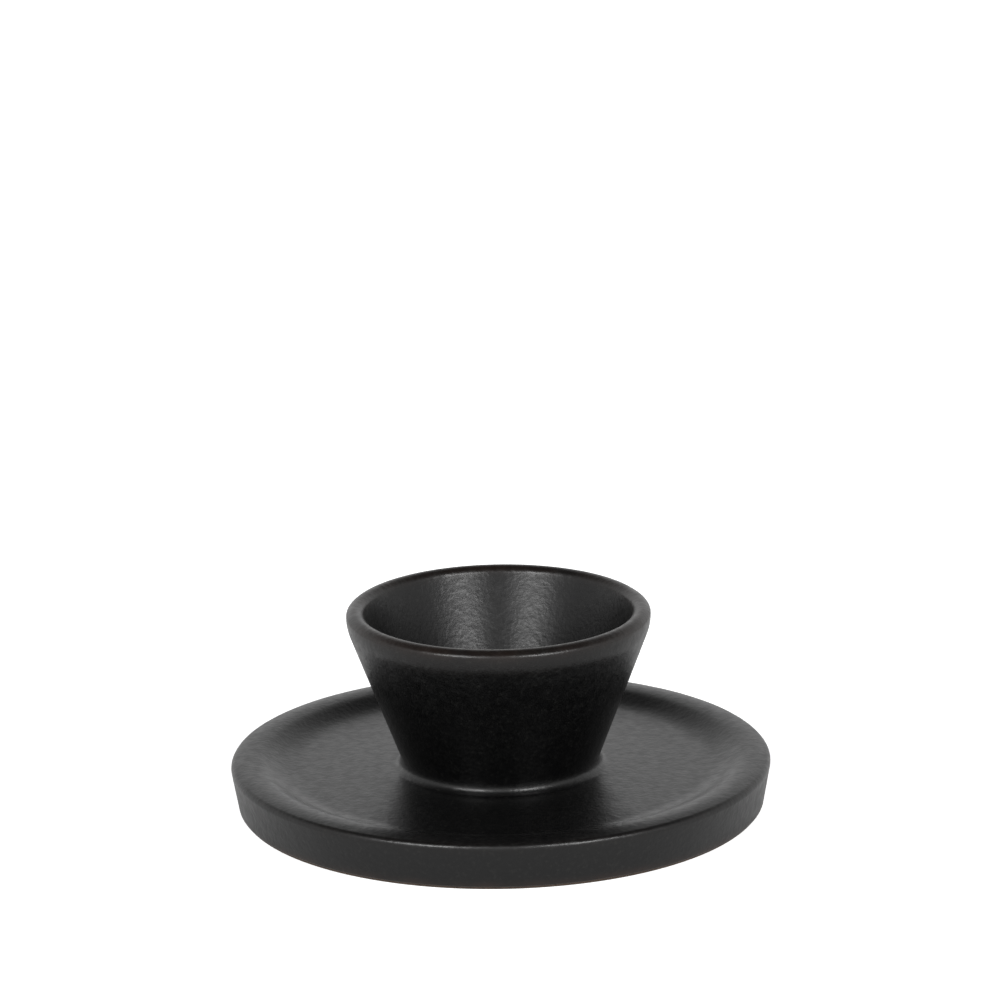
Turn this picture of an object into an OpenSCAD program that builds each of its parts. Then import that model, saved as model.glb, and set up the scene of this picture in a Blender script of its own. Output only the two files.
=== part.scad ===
// Stoneware egg cup, standing on its own saucer.
// The cup and the saucer are two fired clay pieces, luted together with slip and then glazed.
// Units are millimetres. The foot stands on Z = 0 and everything turns round the Z axis.

/* [Saucer] */
// Widest diameter of the saucer, over the glaze
saucer_d = 91.4; // [84:0.2:120]
// Height of the rim's crown above the table
saucer_h = 8.45; // [7.5:0.05:13]
// Lean of the saucer's outer side, in degrees from upright
side_lean = 10; // [0:0.5:20]
// Rounding of the rim's outer edge
rim_edge_r = 1; // [0.5:0.1:1.6]
// Fall of the rim's top towards that edge, in degrees from level
rim_fall = 12; // [8:1:20]
// Width of the rim, from the saucer's widest point to the crown
rim_w = 2.95; // [2.6:0.05:7]
// Rounding of the rim's crown
rim_crown_r = 9.5; // [6:0.1:10.5]
// Fall of the crown at its inner end, where the shoulder starts, in degrees from level
rim_dip = 10; // [5:1:14]
// Rounding of the shoulder between the crown and the rim's inner side
shoulder_r = 4.8; // [1.5:0.1:5.5]
// Depth of the dish's edge below the crown
dish_depth = 2.1; // [1.9:0.05:3]
// Slope of the rim's inner side, in degrees from level
dish_slope = 32; // [25:1:38]
// Rounding where the inner side runs out into the dish
dish_r = 7.5; // [2:0.1:7.8]
// Rise of the dish from its edge to the foot of the cup
dish_rise = 0.55; // [0.2:0.05:1]

/* [Foot] */
// Width of the bare foot ring
foot_w = 4.6; // [3:0.1:8]
// Depth of the hollow inside the foot ring
foot_recess = 2.2; // [1:0.1:3]
// Rounding in the corner of that hollow
recess_r = 1.6; // [0.6:0.1:2.4]
// Rounding of the foot ring's two lower edges
foot_edge_r = 0.25; // [0.1:0.05:0.3]

/* [Cup] */
// Widest diameter of the cup, just under its lip, over the glaze
cup_d = 51.4; // [46:0.2:60]
// Height of the lip above the table
cup_h = 34.6; // [30:0.2:45]
// Lean of the cup's side, in degrees from upright
cup_lean = 20.8; // [12:0.2:26]
// Rounding that brings the side upright under the lip
turn_r = 8; // [3:0.5:12]
// Rounding of the lip's outer edge
lip_edge_r = 1; // [0.5:0.1:1.4]
// Fall of the lip's top towards that edge, in degrees from level
lip_fall = 40; // [20:1:50]
// Width of the lip, from the cup's widest point to the lip's crown
lip_w = 1.55; // [1.4:0.05:3]
// Rounding of the lip's crown, which runs down into the cup
lip_crown_r = 1.6; // [1:0.05:1.8]
// Thickness of the cup's floor above the dish, glaze included
cup_floor = 3.8; // [2.5:0.1:6]
// Rounding inside the cup, between its wall and its floor
bowl_r = 12; // [4:0.5:14]

/* [Joint and glaze] */
// Rounding of the bead of slip round the cup's foot, over the glaze
bead_r = 1.4; // [0.6:0.1:3]
// Thickness of the slip between the cup and the saucer
slip_t = 0.5; // [0.3:0.05:1]
// Thickness of the glaze
glaze_t = 0.3; // [0.25:0.05:0.5]
// Height of bare clay left above the table and beside the foot ring
bare_h = 0.4; // [0.35:0.05:1]

/* [Hidden] */

// Steps of the full circle, and the largest turn of one step along a rounding, in degrees
$fn = 180;
arc_step = 5;
// Most of a side that the roundings at its two ends may take together
side_share = 0.98;

// Heights of the dish's edge, of the dish at the foot of the cup and of the cup's floor
dish_z = saucer_h - dish_depth;
seat_z = dish_z + dish_rise;
cup_floor_z = seat_z + cup_floor;

// Small vector tools
function unit(v) = v / norm(v);
function left_of(v) = [-v.y, v.x];
function towards(a) = [cos(a), sin(a)];
function turned(v, a) = [v.x * cos(a) - v.y * sin(a), v.x * sin(a) + v.y * cos(a)];
function flat_list(lists) = [for (list = lists) for (item = list) item];
function point(corner) = [corner[0], corner[1]];

// Corner whose rounding is the circle of radius r about centre, between the tangents at
// the angles a and b
function tangent_corner(centre, r, a, b) =
    let (place = centre + towards((a + b) / 2) * r / cos((b - a) / 2))
    [place.x, place.y, r];

// Centre of an edge rounding that touches both the widest radius and the slope that falls
// from the crown to it
function edge_centre(widest, edge_r, crown, crown_r, fall) =
    let (x = widest - edge_r)
    [x, crown.y + (crown_r - edge_r + (crown.x - x) * sin(fall)) / cos(fall)];

// Radius, at height z, of a side that leans outwards and touches the circle at its top
function side_radius(centre, r, lean, z) =
    centre.x + (r + (z - centre.y) * sin(lean)) / cos(lean);

// Centres of the roundings of the saucer's rim
rim_crown = [saucer_d / 2 - rim_w, saucer_h - rim_crown_r];
rim_shoulder = rim_crown + towards(90 + rim_dip) * (rim_crown_r - shoulder_r);
rim_edge = edge_centre(saucer_d / 2, rim_edge_r, rim_crown, rim_crown_r, rim_fall);
function saucer_side(z) = side_radius(rim_edge, rim_edge_r, side_lean, z);

// Centres of the roundings of the cup's lip, and of the one that brings its side upright
lip_crown = [cup_d / 2 - lip_w, cup_h - lip_crown_r];
lip_edge = edge_centre(cup_d / 2, lip_edge_r, lip_crown, lip_crown_r, lip_fall);
turn_centre = [cup_d / 2 - turn_r, lip_edge.y];
function cup_side(z) = side_radius(turn_centre, turn_r, cup_lean, z);
function cup_inside(z) = side_radius(lip_crown, -lip_crown_r, cup_lean, z);

// Half of the angle between the two sides that meet at corner i
function half_angle(corners, i) =
    let (
        back = unit(point(corners[i - 1]) - point(corners[i])),
        ahead = unit(point(corners[i + 1]) - point(corners[i]))
    )
    acos(back * ahead) / 2;

// Length that the rounding at corner i takes from each of its sides, before any limit
function wanted_reach(corners, i) =
    i == 0 || i == len(corners) - 1 ? 0 : corners[i][2] / tan(half_angle(corners, i));

// Share of the side from corner i to the next one that its two roundings can have
function granted_share(corners, i) =
    let (
        side = norm(point(corners[i + 1]) - point(corners[i])) * side_share,
        wanted = wanted_reach(corners, i) + wanted_reach(corners, i + 1)
    )
    min(1, side / wanted);

// Points of the rounding at corner i. The rounding shrinks where its sides are too short for it.
function rounding(corners, i) =
    let (
        here = point(corners[i]),
        back = unit(point(corners[i - 1]) - here),
        ahead = unit(point(corners[i + 1]) - here),
        half = half_angle(corners, i),
        share = min(granted_share(corners, i - 1), granted_share(corners, i)),
        reach = wanted_reach(corners, i) * share,
        centre = here + unit(back + ahead) * reach / cos(half),
        spoke = here + back * reach - centre,
        side = left_of(-back) * ahead > 0 ? 1 : -1,
        turn = 180 - 2 * half,
        steps = ceil(turn / arc_step)
    )
    [for (k = [0:steps]) centre + turned(spoke, side * turn * k / steps)];

// One list of points for each corner, with the first and the last corner left sharp
function rounded(corners) = [
    for (i = [0:len(corners) - 1])
        i == 0 || i == len(corners) - 1 ? [point(corners[i])] : rounding(corners, i)
];

// The path moved by t to its left, which is where the clay is
function inset(path, t) = [
    for (i = [0:len(path) - 1])
        let (
            last = len(path) - 1,
            before = left_of(unit(path[max(i, 1)] - path[max(i, 1) - 1])),
            after = left_of(unit(path[min(i, last - 1) + 1] - path[min(i, last - 1)]))
        )
        path[i] + t * (before + after) / (1 + before * after)
];

function reversed(path) = [for (i = [len(path) - 1:-1:0]) path[i]];
function part_of(path, first, last) = [for (i = [first:last]) path[i]];

// Upper surface of the glaze, from the bare edge at the foot to the middle of the cup's floor.
// A third number is the rounding at that corner.
rim_inside = tangent_corner(rim_shoulder, shoulder_r, 90 + rim_dip, 90 + dish_slope);
dish_edge_x = rim_inside.x - (rim_inside.y - dish_z) / tan(dish_slope);
skin_corners = [
    [saucer_side(bare_h), bare_h],
    tangent_corner(rim_edge, rim_edge_r, -side_lean, 90 - rim_fall),
    tangent_corner(rim_crown, rim_crown_r, 90 - rim_fall, 90 + rim_dip),
    rim_inside,
    [dish_edge_x, dish_z, dish_r],
    [cup_side(seat_z), seat_z, bead_r],
    tangent_corner(turn_centre, turn_r, -cup_lean, 0),
    tangent_corner(lip_edge, lip_edge_r, 0, 90 - lip_fall),
    tangent_corner(lip_crown, lip_crown_r, 90 - lip_fall, 180 - cup_lean),
    [cup_inside(cup_floor_z), cup_floor_z, bowl_r],
    [0, cup_floor_z],
];
skin_parts = rounded(skin_corners);
skin = flat_list(skin_parts);
under_skin = inset(skin, glaze_t);

// Places in the skin where the bead starts, where it ends, and its last point
bead_corner = 5;
bead_first = len(flat_list(part_of(skin_parts, 0, bead_corner - 1)));
bead_last = len(flat_list(part_of(skin_parts, 0, bead_corner))) - 1;
skin_last = len(skin) - 1;

// Lower surface of the glaze in the foot's hollow, from the middle outwards
foot_inner_x = saucer_side(0) - foot_w;
base_skin = flat_list(rounded([
    [0, foot_recess],
    [foot_inner_x, foot_recess, recess_r],
    [foot_inner_x, bare_h],
]));
under_base_skin = inset(base_skin, glaze_t);

// Foot ring, from its hollow to the saucer's side
clay_side_x = saucer_side(0) - glaze_t / cos(side_lean);
foot_ring = flat_list(rounded([
    under_base_skin[len(under_base_skin) - 1],
    [foot_inner_x + glaze_t, 0, foot_edge_r],
    [clay_side_x, 0, foot_edge_r],
    under_skin[0],
]));

// Heights of the clay under the bead and of the cup's clay foot
clay_z = under_skin[bead_first].y;
cup_foot_z = clay_z + slip_t;

// Foot of the cup's clay side, inside the bead
cup_clay_foot = [cup_side(cup_foot_z) - glaze_t / cos(cup_lean), cup_foot_z];

// A solid of revolution with this outline
module turned_piece(outline) {
    rotate_extrude() polygon(outline);
}

// A coat of glaze between two matching paths
module coat(outside, inside) {
    turned_piece(concat(outside, reversed(inside)));
}

// Fired clay saucer with its raised rim and bare foot ring
module saucer_body() {
    color("#6b5443")
        turned_piece(concat(
            part_of(under_skin, 0, bead_first),
            [[0, clay_z]],
            under_base_skin,
            part_of(foot_ring, 1, len(foot_ring) - 2)
        ));
}

// Fired clay cup, from its foot to its lip
module cup_body() {
    color("#6b5443")
        turned_piece(concat(
            [[0, cup_foot_z], cup_clay_foot],
            part_of(under_skin, bead_last, skin_last)
        ));
}

// Slip that lutes the cup to the saucer, with the bead that it leaves round the cup's foot
module joint_slip() {
    color("#7d6350")
        turned_piece(concat(
            [[0, clay_z]],
            part_of(under_skin, bead_first, bead_last),
            [cup_clay_foot, [0, cup_foot_z]]
        ));
}

// Black glaze on the saucer's side, rim and dish, and over the bead
module saucer_glaze() {
    color("#1c1c1d")
        coat(part_of(skin, 0, bead_last), part_of(under_skin, 0, bead_last));
}

// Black glaze over the cup's side, lip and inside
module cup_glaze() {
    color("#151516")
        coat(part_of(skin, bead_last, skin_last), part_of(under_skin, bead_last, skin_last));
}

// Black glaze in the hollow of the foot
module base_glaze() {
    color("#1c1c1d")
        coat(base_skin, under_base_skin);
}

saucer_body();
cup_body();
joint_slip();
saucer_glaze();
cup_glaze();
base_glaze();
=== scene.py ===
"""Looks of the stoneware egg cup: glaze over the clay pieces, a pale floor, soft light and the camera."""

import math

import bpy
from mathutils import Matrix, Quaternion, Vector, noise


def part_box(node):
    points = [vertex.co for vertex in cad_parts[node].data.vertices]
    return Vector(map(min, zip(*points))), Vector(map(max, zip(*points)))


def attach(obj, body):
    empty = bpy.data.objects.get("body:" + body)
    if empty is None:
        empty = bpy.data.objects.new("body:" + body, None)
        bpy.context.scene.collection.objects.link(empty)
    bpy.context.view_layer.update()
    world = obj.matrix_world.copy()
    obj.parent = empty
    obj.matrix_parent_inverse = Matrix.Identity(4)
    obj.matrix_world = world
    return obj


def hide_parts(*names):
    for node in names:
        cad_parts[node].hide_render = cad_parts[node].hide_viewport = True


MM = 0.001
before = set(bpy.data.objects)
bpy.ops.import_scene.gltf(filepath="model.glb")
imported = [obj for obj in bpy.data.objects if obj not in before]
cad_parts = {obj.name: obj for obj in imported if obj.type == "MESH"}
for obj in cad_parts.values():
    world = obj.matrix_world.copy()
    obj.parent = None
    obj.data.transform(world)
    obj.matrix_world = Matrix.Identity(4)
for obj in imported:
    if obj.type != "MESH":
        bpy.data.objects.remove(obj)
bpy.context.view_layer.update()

# Sizes of the glazed outline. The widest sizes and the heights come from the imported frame.
SAUCER_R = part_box("saucer_glaze")[1].x
SAUCER_H = 8.45 * MM
BARE_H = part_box("saucer_glaze")[0].z
SIDE_LEAN = math.radians(10)
RIM_EDGE_R = 1.0 * MM
RIM_FALL = math.radians(12)
RIM_W = 2.95 * MM
RIM_CROWN_R = 9.5 * MM
RIM_DIP = math.radians(10)
SHOULDER_R = 4.8 * MM
DISH_DEPTH = 2.1 * MM
# The glaze pools below the rim, so its slope there is gentler than the clay's.
DISH_SLOPE = math.radians(26)
DISH_R = 8.5 * MM
DISH_RISE = 0.55 * MM
CUP_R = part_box("cup_glaze")[1].x
CUP_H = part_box("cup_glaze")[1].z
CUP_LEAN = math.radians(20.8)
TURN_R = 8.0 * MM
LIP_EDGE_R = 1.0 * MM
LIP_FALL = math.radians(40)
LIP_W = 1.55 * MM
LIP_CROWN_R = 1.6 * MM
CUP_FLOOR = 3.8 * MM
BOWL_R = 12.0 * MM
BEAD_R = 1.4 * MM
FOOT_W = 4.6 * MM
FOOT_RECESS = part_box("base_glaze")[1].z
RECESS_R = 1.6 * MM
GLAZE_T = 0.3 * MM

# Fineness of the meshes
SEGMENTS = 540
ROW_STEP = 0.45 * MM
ARC_STEP = math.radians(4)
HIDDEN_STEP = 3.0 * MM
ROUND_END_STEPS = 6
SHARP_ANGLE = math.radians(40)
SAME_PLACE = 0.001 * MM

# Unevenness of the glaze: size of one wave and how far it lifts the surface
SWELLS = ((24 * MM, 0.05 * MM), (7 * MM, 0.018 * MM), (2.2 * MM, 0.008 * MM))
# Shift that keeps the noises of the three waves apart
SWELL_SHIFT = 1000

# The glaze thins over tight edges and towards its bare end. The two edge values are how thin it runs
# over an edge of rounding THIN_EDGE_R, and THIN_SPREAD is how far that reaches.
THIN_EDGE_R = 1.2 * MM
THIN_SPREAD = 0.8 * MM
THIN_END = 0.9 * MM
SAUCER_EDGE_THINNESS = 0.1
CUP_EDGE_THINNESS = 0.6

# The glaze's finish. WAVES are a noise's waves to the metre. A ramp's stops are noise levels and what
# each of them gives.
GRAIN_WAVES = 2600.0
GRAIN_ROUGHNESS = 0.6
GRAIN_STRENGTH = 0.25
GRAIN_DEPTH = 0.02 * MM
DIMPLE_WAVES = 1200.0
DIMPLE_DEPTH = 0.045 * MM
SPECK_WAVES = 1500.0
SPECKED_BLACK = (
    (0.4, (0.0008, 0.0008, 0.0009, 1)),
    (0.58, (0.0014, 0.0014, 0.0014, 1)),
    (0.72, (0.006, 0.006, 0.0056, 1)),
)
TINT_WAVES = 160.0
TINT_PATCHES = ((0.3, 0.25), (0.65, 1.0))
THIN_BROWN = (0.015, 0.0085, 0.006, 1)
GLOSS_WAVES = 600.0
GLAZE_ROUGHNESS = ((0.35, 0.3), (0.65, 0.37))
GLAZE_IOR = 1.42

# The bare clay's finish
CLAY_WAVES = 1500.0
CLAY_GRAIN_ROUGHNESS = 0.65
CLAY_GRAIN_STRENGTH = 0.6
CLAY_GRAIN_DEPTH = 0.06 * MM
CLAY_BROWNS = (
    (0.3, (0.02, 0.013, 0.009, 1)),
    (0.45, (0.05, 0.033, 0.022, 1)),
    (0.75, (0.075, 0.052, 0.037, 1)),
)
CLAY_ROUGHNESS = 0.85

# The photo's camera. The origin, which is the foot's centre, lands at ORIGIN_PX in a frame of FRAME_PX.
FRAME_PX = 1000
ORIGIN_PX = (501.5, 800.3)
PX_PER_M = 5867.6
EYE_DISTANCE = 1.0226
EYE_ELEVATION = math.radians(19.09)
EYE_ROLL = math.radians(-0.97)
SENSOR_MM = 36.0

# Light. The sky's levels go by the sine of the height above the horizon.
SKY = ((0.0, 1.0), (0.3, 0.96), (0.5, 0.82), (0.62, 0.5), (0.75, 0.14), (0.9, 0.08), (1.0, 0.08))
SOFTBOX_AZIMUTHS = (math.radians(-34), math.radians(35))
SOFTBOX_ELEVATION = math.radians(35)
SOFTBOX_DISTANCE = 2.0
SOFTBOX_SIZE = (0.85, 0.5)
SOFTBOX_WATTS = 23.0
FLOOR_SIZE = 12.0
FLOOR_DROP = 0.05 * MM
FLOOR_COLOUR = (0.82, 0.82, 0.82, 1)
SEEN_LIFT = 0.63
MIRRORED_LIFT = 0.04


def turned(vector, angle):
    """A vector of the outline's plane, turned anticlockwise."""
    return Vector((
        vector.x * math.cos(angle) - vector.y * math.sin(angle),
        vector.x * math.sin(angle) + vector.y * math.cos(angle),
    ))


def tangent_corner(centre, radius, a, b):
    """Corner whose rounding is the circle about centre, between its tangents at the angles a and b."""
    reach = radius / math.cos((b - a) / 2)
    middle = (a + b) / 2
    return (centre.x + reach * math.cos(middle), centre.y + reach * math.sin(middle), radius)


def edge_centre(widest, edge_r, crown, crown_r, fall):
    """Centre of an edge rounding that touches the widest radius and the slope that falls to it."""
    x = widest - edge_r
    return Vector((x, crown.y + (crown_r - edge_r + (crown.x - x) * math.sin(fall)) / math.cos(fall)))


def side_radius(centre, radius, lean, height):
    """Radius at a height of a side that leans outwards and touches the circle at its top."""
    return centre.x + (radius + (height - centre.y) * math.sin(lean)) / math.cos(lean)


def rounding_at(before, corner, after, radius):
    """Points of the rounding of one corner."""
    back = (before - corner).normalized()
    ahead = (after - corner).normalized()
    half = back.angle(ahead) / 2
    reach = radius / math.tan(half)
    centre = corner + (back + ahead).normalized() * reach / math.cos(half)
    spoke = corner + back * reach - centre
    turn = math.pi - 2 * half
    side = 1 if (-back).x * ahead.y - (-back).y * ahead.x > 0 else -1
    steps = math.ceil(turn / ARC_STEP)
    return [centre + turned(spoke, side * turn * k / steps) for k in range(steps + 1)]


def rounded(corners):
    """The outline through (r, z, rounding) corners, as one list of points for each corner."""
    points = [Vector(corner[:2]) for corner in corners]
    parts = [[points[0]]]
    for i in range(1, len(corners) - 1):
        parts.append(rounding_at(points[i - 1], points[i], points[i + 1], corners[i][2]))
    parts.append([points[-1]])
    return parts


def joined(parts):
    return [point for part in parts for point in part]


def outline(parts):
    """The points of the parts as one path, with each place once."""
    path = []
    for point in joined(parts):
        if not path or (point - path[-1]).length > SAME_PLACE:
            path.append(point)
    return path


def refined(path, step):
    """The path with points added along its long stretches."""
    points = [path[0]]
    for a, b in zip(path, path[1:]):
        pieces = max(1, math.ceil((b - a).length / step))
        points += [a.lerp(b, k / pieces) for k in range(1, pieces + 1)]
    return points


def left_normals(path):
    """Unit normals to the left of a path, where the clay is."""
    normals = []
    for i in range(len(path)):
        ahead = path[min(i + 1, len(path) - 1)] - path[max(i - 1, 0)]
        ahead.normalize()
        normals.append(Vector((-ahead.y, ahead.x)))
    return normals


def inset(path, depth):
    return [point + normal * depth for point, normal in zip(path, left_normals(path))]


def lengths_along(path):
    """Length of the path up to each of its points."""
    lengths = [0.0]
    for a, b in zip(path, path[1:]):
        lengths.append(lengths[-1] + (b - a).length)
    return lengths


UPRIGHT = math.radians(90)
RIM_CROWN = Vector((SAUCER_R - RIM_W, SAUCER_H - RIM_CROWN_R))
RIM_SHOULDER = RIM_CROWN + turned(Vector((RIM_CROWN_R - SHOULDER_R, 0)), UPRIGHT + RIM_DIP)
RIM_EDGE = edge_centre(SAUCER_R, RIM_EDGE_R, RIM_CROWN, RIM_CROWN_R, RIM_FALL)
LIP_CROWN = Vector((CUP_R - LIP_W, CUP_H - LIP_CROWN_R))
LIP_EDGE = edge_centre(CUP_R, LIP_EDGE_R, LIP_CROWN, LIP_CROWN_R, LIP_FALL)
TURN_CENTRE = Vector((CUP_R - TURN_R, LIP_EDGE.y))


def saucer_side(height):
    return side_radius(RIM_EDGE, RIM_EDGE_R, SIDE_LEAN, height)


def cup_side(height):
    return side_radius(TURN_CENTRE, TURN_R, CUP_LEAN, height)


def cup_inside(height):
    return side_radius(LIP_CROWN, -LIP_CROWN_R, CUP_LEAN, height)


DISH_Z = SAUCER_H - DISH_DEPTH
SEAT_Z = DISH_Z + DISH_RISE
CUP_FLOOR_Z = SEAT_Z + CUP_FLOOR
RIM_INSIDE = tangent_corner(RIM_SHOULDER, SHOULDER_R, UPRIGHT + RIM_DIP, UPRIGHT + DISH_SLOPE)
SKIN_PARTS = rounded([
    (saucer_side(BARE_H), BARE_H),
    tangent_corner(RIM_EDGE, RIM_EDGE_R, -SIDE_LEAN, UPRIGHT - RIM_FALL),
    tangent_corner(RIM_CROWN, RIM_CROWN_R, UPRIGHT - RIM_FALL, UPRIGHT + RIM_DIP),
    RIM_INSIDE,
    (RIM_INSIDE[0] - (RIM_INSIDE[1] - DISH_Z) / math.tan(DISH_SLOPE), DISH_Z, DISH_R),
    (cup_side(SEAT_Z), SEAT_Z, BEAD_R),
    tangent_corner(TURN_CENTRE, TURN_R, -CUP_LEAN, 0),
    tangent_corner(LIP_EDGE, LIP_EDGE_R, 0, UPRIGHT - LIP_FALL),
    tangent_corner(LIP_CROWN, LIP_CROWN_R, UPRIGHT - LIP_FALL, 2 * UPRIGHT - CUP_LEAN),
    (cup_inside(CUP_FLOOR_Z), CUP_FLOOR_Z, BOWL_R),
    (0, CUP_FLOOR_Z),
])
# The saucer's glaze runs from the bare foot up to the end of the bead.
SAUCER_PARTS = 6
SAUCER_SKIN = outline(SKIN_PARTS[:SAUCER_PARTS])
CUP_SKIN = outline([SAUCER_SKIN[-1:]] + SKIN_PARTS[SAUCER_PARTS:])
FOOT_INNER_X = saucer_side(0) - FOOT_W
BASE_SKIN = outline(rounded([
    (0, FOOT_RECESS - GLAZE_T),
    (FOOT_INNER_X, FOOT_RECESS - GLAZE_T, RECESS_R),
    (FOOT_INNER_X, BARE_H),
]))


def swell(place):
    """How far the glaze stands above its mean surface at a place."""
    return sum(
        height * noise.noise(place / wave + Vector((wave, height, 1)) * SWELL_SHIFT)
        for wave, height in SWELLS
    )


def thinness(path, edge_thinness, bare_start, bare_end):
    """How thin the glaze runs at each point of a path, from 0 to 1."""
    along = lengths_along(path)
    bends = [0.0] * len(path)
    for i in range(1, len(path) - 1):
        back = path[i] - path[i - 1]
        ahead = path[i + 1] - path[i]
        turn = math.asin((back.x * ahead.y - back.y * ahead.x) / (back.length * ahead.length))
        bends[i] = max(0.0, turn) * THIN_EDGE_R * edge_thinness
    levels = []
    for here in along:
        level = 0.0
        for there, bend in zip(along, bends):
            level += bend * math.exp(-((there - here) / THIN_SPREAD) ** 2)
        level /= THIN_SPREAD * math.sqrt(math.pi)
        if bare_start:
            level += math.exp(-((here / THIN_END) ** 2))
        if bare_end:
            level += math.exp(-(((along[-1] - here) / THIN_END) ** 2))
        levels.append(min(level, 1.0))
    return levels


def bare_end_cuts(path, bare_start, bare_end):
    """How much thinner the coat is at each point, so that its bare ends are round."""
    along = lengths_along(path)
    cuts = []
    for here in along:
        left = here if bare_start else GLAZE_T
        if bare_end:
            left = min(left, along[-1] - here)
        gone = 1 - min(left / GLAZE_T, 1.0)
        cuts.append(GLAZE_T * (1 - math.sqrt(1 - gone ** 2)))
    return cuts


def with_round_ends(path, bare_start, bare_end):
    """The path with close points where a bare end is round."""
    points = list(path)
    shares = [1 - math.cos(UPRIGHT * k / ROUND_END_STEPS) for k in range(1, ROUND_END_STEPS + 1)]
    if bare_start:
        ahead = (points[1] - points[0]).normalized() * GLAZE_T
        points[1:1] = [points[0] + ahead * share for share in shares]
    if bare_end:
        back = (points[-2] - points[-1]).normalized() * GLAZE_T
        points[-1:-1] = [points[-1] + back * share for share in reversed(shares)]
    return points


def ring_points(path, normals, depths, lift):
    """Rows of points turned round the axis, at depths below the path. lift is their share of the swell."""
    rows = []
    for point, normal, depth in zip(path, normals, depths):
        row = []
        count = 1 if point.x < SAME_PLACE else SEGMENTS
        for k in range(count):
            angle = 2 * math.pi * k / SEGMENTS
            out = Vector((math.sin(angle), -math.cos(angle), 0))
            place = out * point.x + Vector((0, 0, point.y))
            inward = out * normal.x + Vector((0, 0, normal.y))
            row.append(place + inward * (depth - swell(place) * lift))
        rows.append(row)
    return rows


def faces_between(first, count_a, second, count_b):
    """Faces between two rows of points, either of which may be a single point."""
    faces = []
    for k in range(SEGMENTS):
        n = (k + 1) % SEGMENTS
        if count_a == 1:
            faces.append((first, second + n, second + k))
        elif count_b == 1:
            faces.append((first + k, first + n, second))
        else:
            faces.append((first + k, first + n, second + n, second + k))
    return faces


def add_object(name, data):
    """A new object in the scene with this mesh, lamp or camera."""
    thing = bpy.data.objects.new(name, data)
    bpy.context.scene.collection.objects.link(thing)
    return thing


def coat(name, path, edge_thinness, bare_start=False, bare_end=False):
    """A closed coat of glaze: its uneven upper surface along the path and its plain lower surface."""
    outside = refined(with_round_ends(path, bare_start, bare_end), ROW_STEP)
    inside = refined(inset(path, GLAZE_T), HIDDEN_STEP)[::-1]
    cuts = bare_end_cuts(outside, bare_start, bare_end)
    rows = ring_points(outside, left_normals(outside), cuts, 1)
    rows += ring_points(inside, left_normals(inside), [0.0] * len(inside), 0)
    levels = thinness(outside, edge_thinness, bare_start, bare_end) + [0.0] * len(inside)
    faces = []
    starts = [0]
    for row in rows:
        starts.append(starts[-1] + len(row))
    for i in range(len(rows)):
        j = (i + 1) % len(rows)
        if len(rows[i]) == 1 and len(rows[j]) == 1:
            continue
        faces += faces_between(starts[i], len(rows[i]), starts[j], len(rows[j]))
    mesh = bpy.data.meshes.new(name)
    mesh.from_pydata(joined(rows), [], faces)
    thin = mesh.attributes.new("thin", "FLOAT", "POINT")
    thin.data.foreach_set("value", [level for level, row in zip(levels, rows) for _ in row])
    mesh.validate()
    mesh.shade_smooth()
    mesh.set_sharp_from_angle(angle=SHARP_ANGLE)
    return add_object(name, mesh)


class Nodes:
    """Short calls for building the node tree of a material or world."""

    def __init__(self, owner):
        owner.use_nodes = True
        self.tree = owner.node_tree
        self.tree.nodes.clear()

    def add(self, kind, inputs=None, **settings):
        node = self.tree.nodes.new(kind)
        for key, value in settings.items():
            setattr(node, key, value)
        for key, value in (inputs or {}).items():
            if isinstance(value, bpy.types.NodeSocket):
                self.tree.links.new(value, node.inputs[key])
            else:
                node.inputs[key].default_value = value
        return node

    def ramp(self, factor, stops):
        """Colour ramp through stops of a position and a grey or colour, which come in rising order."""
        node = self.add("ShaderNodeValToRGB", {"Fac": factor})
        elements = node.color_ramp.elements
        elements[1].position = stops[-1][0]
        elements[0].position = stops[0][0]
        for position, _ in stops[1:-1]:
            elements.new(position)
        for element, (_, colour) in zip(elements, stops):
            element.color = colour if isinstance(colour, tuple) else (colour, colour, colour, 1)
        return node.outputs["Color"]

    def noise(self, place, waves, detail=3.0, roughness=0.5):
        """Noise with about this many waves to the metre."""
        node = self.add(
            "ShaderNodeTexNoise",
            {"Vector": place, "Scale": waves, "Detail": detail, "Roughness": roughness},
        )
        return node.outputs["Fac"]

    def maths(self, operation, first, second):
        return self.add("ShaderNodeMath", {0: first, 1: second}, operation=operation).outputs[0]

    def mixed(self, factor, first, second):
        """Blend of two colours."""
        node = self.add("ShaderNodeMix", {"Factor": factor, 6: first, 7: second}, data_type="RGBA")
        return node.outputs[2]


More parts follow.
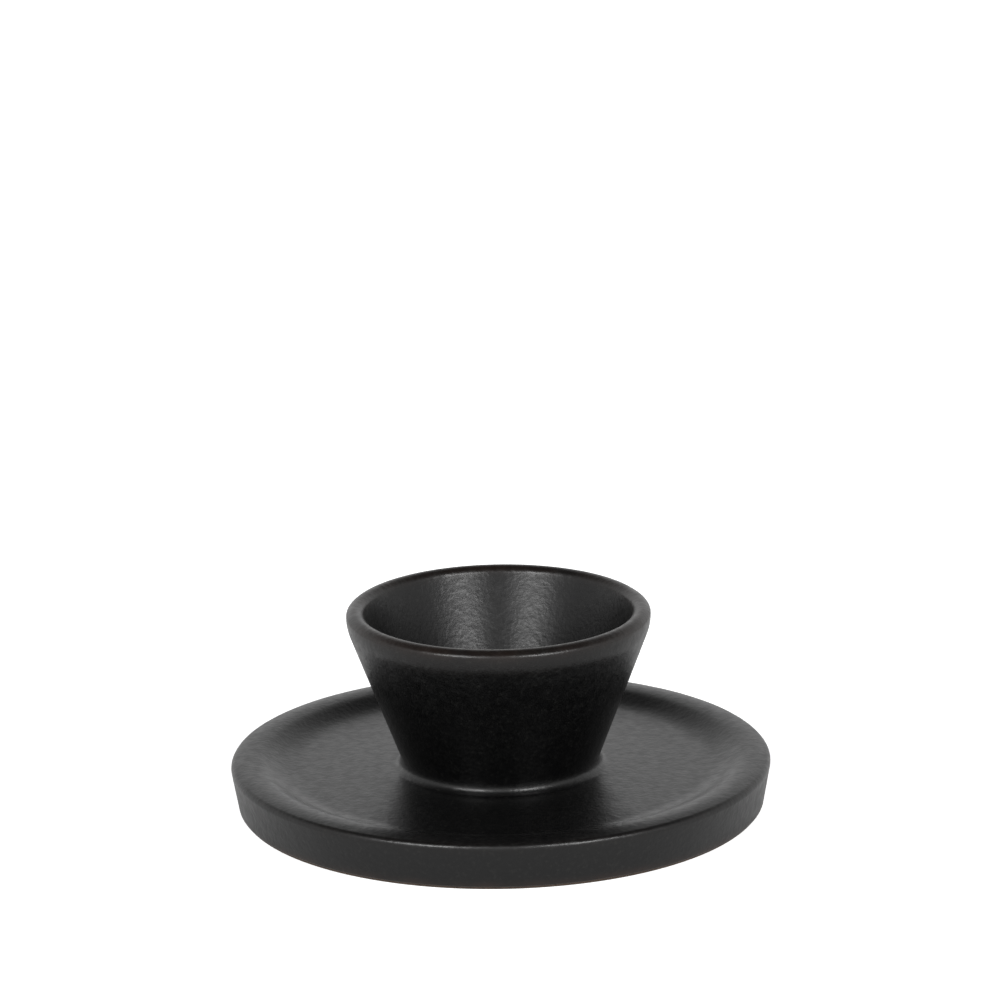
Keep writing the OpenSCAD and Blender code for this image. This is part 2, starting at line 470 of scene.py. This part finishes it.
def glaze_material():
    """Satin black glaze with a fine grain, paler specks and a brown tint where it runs thin."""
    material = bpy.data.materials.new("satin_black_glaze")
    nodes = Nodes(material)
    place = nodes.add("ShaderNodeTexCoord").outputs["Object"]
    grain = nodes.noise(place, GRAIN_WAVES, roughness=GRAIN_ROUGHNESS)
    dimples = nodes.noise(place, DIMPLE_WAVES, detail=2.0)
    specks = nodes.noise(place, SPECK_WAVES, detail=2.0)
    gloss = nodes.noise(place, GLOSS_WAVES, detail=2.0)
    black = nodes.ramp(specks, SPECKED_BLACK)
    thin = nodes.add("ShaderNodeAttribute", attribute_name="thin").outputs["Fac"]
    patches = nodes.ramp(nodes.noise(place, TINT_WAVES), TINT_PATCHES)
    colour = nodes.mixed(nodes.maths("MULTIPLY", thin, patches), black, THIN_BROWN)
    rough = nodes.ramp(gloss, GLAZE_ROUGHNESS)
    pits = nodes.add("ShaderNodeBump", {"Height": dimples, "Distance": DIMPLE_DEPTH})
    bump = nodes.add(
        "ShaderNodeBump",
        {
            "Height": grain,
            "Strength": GRAIN_STRENGTH,
            "Distance": GRAIN_DEPTH,
            "Normal": pits.outputs["Normal"],
        },
    )
    shader = nodes.add(
        "ShaderNodeBsdfPrincipled",
        {"Base Color": colour, "Roughness": rough, "Normal": bump.outputs["Normal"], "IOR": GLAZE_IOR},
    )
    nodes.add("ShaderNodeOutputMaterial", {"Surface": shader.outputs["BSDF"]})
    return material


def clay_material():
    """Bare fired stoneware: warm brown, dry and grainy, with darker and paler specks."""
    material = bpy.data.materials.new("bare_stoneware")
    nodes = Nodes(material)
    place = nodes.add("ShaderNodeTexCoord").outputs["Object"]
    grain = nodes.noise(place, CLAY_WAVES, detail=5.0, roughness=CLAY_GRAIN_ROUGHNESS)
    colour = nodes.ramp(grain, CLAY_BROWNS)
    bump = nodes.add(
        "ShaderNodeBump",
        {"Height": grain, "Strength": CLAY_GRAIN_STRENGTH, "Distance": CLAY_GRAIN_DEPTH},
    )
    shader = nodes.add(
        "ShaderNodeBsdfPrincipled",
        {"Base Color": colour, "Roughness": CLAY_ROUGHNESS, "Normal": bump.outputs["Normal"]},
    )
    nodes.add("ShaderNodeOutputMaterial", {"Surface": shader.outputs["BSDF"]})
    return material


def paint(piece, material):
    """Gives a piece this material alone."""
    piece.data.materials.clear()
    piece.data.materials.append(material)


def dress(piece, material, replaced):
    """Gives a piece its material, hangs it on the root body and hides the CAD node it stands for."""
    paint(piece, material)
    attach(piece, "root")
    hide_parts(replaced)


def make_floor():
    """Floor that is white to the camera and pale in the glaze, keeps the shadow, and is clear from below."""
    half = FLOOR_SIZE / 2
    mesh = bpy.data.meshes.new("floor")
    corners = ((-half, -half), (half, -half), (half, half), (-half, half))
    mesh.from_pydata([(x, y, -FLOOR_DROP) for x, y in corners], [], [(0, 1, 2, 3)])
    floor = add_object("floor", mesh)
    material = bpy.data.materials.new("pale_floor")
    nodes = Nodes(material)
    rays = nodes.add("ShaderNodeLightPath").outputs
    seen = nodes.maths("MAXIMUM", rays["Is Camera Ray"], rays["Is Transmission Ray"])
    seen_lift = nodes.maths("MULTIPLY", seen, SEEN_LIFT)
    mirrored_lift = nodes.maths("MULTIPLY", rays["Is Glossy Ray"], MIRRORED_LIFT)
    matt = nodes.add("ShaderNodeBsdfDiffuse", {"Color": FLOOR_COLOUR})
    glow = nodes.add("ShaderNodeEmission", {"Strength": nodes.maths("ADD", seen_lift, mirrored_lift)})
    above = nodes.add("ShaderNodeAddShader", {0: matt.outputs[0], 1: glow.outputs[0]})
    below = nodes.add("ShaderNodeBsdfTransparent")
    side = nodes.add("ShaderNodeNewGeometry").outputs["Backfacing"]
    both = nodes.add("ShaderNodeMixShader", {0: side, 1: above.outputs[0], 2: below.outputs[0]})
    nodes.add("ShaderNodeOutputMaterial", {"Surface": both.outputs[0]})
    paint(floor, material)


def make_world():
    """Soft studio room: white at the horizon and dim overhead."""
    world = bpy.data.worlds.new("studio")
    bpy.context.scene.world = world
    nodes = Nodes(world)
    place = nodes.add("ShaderNodeTexCoord").outputs["Generated"]
    height = nodes.add("ShaderNodeSeparateXYZ", {0: place}).outputs["Z"]
    sky = nodes.add("ShaderNodeBackground", {"Color": nodes.ramp(height, SKY)})
    nodes.add("ShaderNodeOutputWorld", {"Surface": sky.outputs[0]})


def aimed(back):
    """Rotation that looks against the vector back."""
    return (-back).to_track_quat("-Z", "Y")


def direction(azimuth, elevation):
    """Unit vector towards an azimuth, which is 0 in front and grows to the right, and an elevation."""
    return Vector((
        math.sin(azimuth) * math.cos(elevation),
        -math.cos(azimuth) * math.cos(elevation),
        math.sin(elevation),
    ))


def make_softboxes():
    """Two soft lamps in front, left and right of the camera."""
    for name, azimuth in zip(("left_softbox", "right_softbox"), SOFTBOX_AZIMUTHS):
        lamp = bpy.data.lights.new(name, "AREA")
        lamp.shape = "RECTANGLE"
        lamp.size, lamp.size_y = SOFTBOX_SIZE
        lamp.energy = SOFTBOX_WATTS
        back = direction(azimuth, SOFTBOX_ELEVATION)
        holder = add_object(name, lamp)
        holder.rotation_mode = "QUATERNION"
        holder.location = back * SOFTBOX_DISTANCE
        holder.rotation_quaternion = aimed(back)


def make_camera():
    """Camera of the photo."""
    data = bpy.data.cameras.new("photo_camera")
    camera = add_object("photo_camera", data)
    bpy.context.scene.camera = camera
    focal_px = EYE_DISTANCE * PX_PER_M
    right = ORIGIN_PX[0] - FRAME_PX / 2
    down = ORIGIN_PX[1] - FRAME_PX / 2
    tilt = math.atan(down / focal_px)
    pan = math.atan(right / focal_px)
    data.sensor_width = SENSOR_MM
    data.lens = focal_px / math.cos(tilt) / FRAME_PX * SENSOR_MM
    back = direction(0, EYE_ELEVATION)
    roll = Quaternion((0, 0, 1), EYE_ROLL)
    tilt_up = Quaternion((1, 0, 0), tilt)
    pan_left = Quaternion((0, 1, 0), pan)
    camera.rotation_mode = "QUATERNION"
    camera.location = back * EYE_DISTANCE
    camera.rotation_quaternion = aimed(back) @ roll @ tilt_up @ pan_left


glaze = glaze_material()
clay = clay_material()
saucer_coat = coat("glazed_saucer", SAUCER_SKIN, SAUCER_EDGE_THINNESS, bare_start=True)
cup_coat = coat("glazed_cup", CUP_SKIN, CUP_EDGE_THINNESS)
base_coat = coat("glazed_base", BASE_SKIN, SAUCER_EDGE_THINNESS, bare_end=True)
dress(saucer_coat, glaze, "saucer_glaze")
dress(cup_coat, glaze, "cup_glaze")
dress(base_coat, glaze, "base_glaze")
for node in ("saucer_body", "cup_body", "joint_slip"):
    paint(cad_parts[node], clay)

bpy.context.scene.view_settings.view_transform = "Standard"
make_floor()
make_world()
make_softboxes()
make_camera()
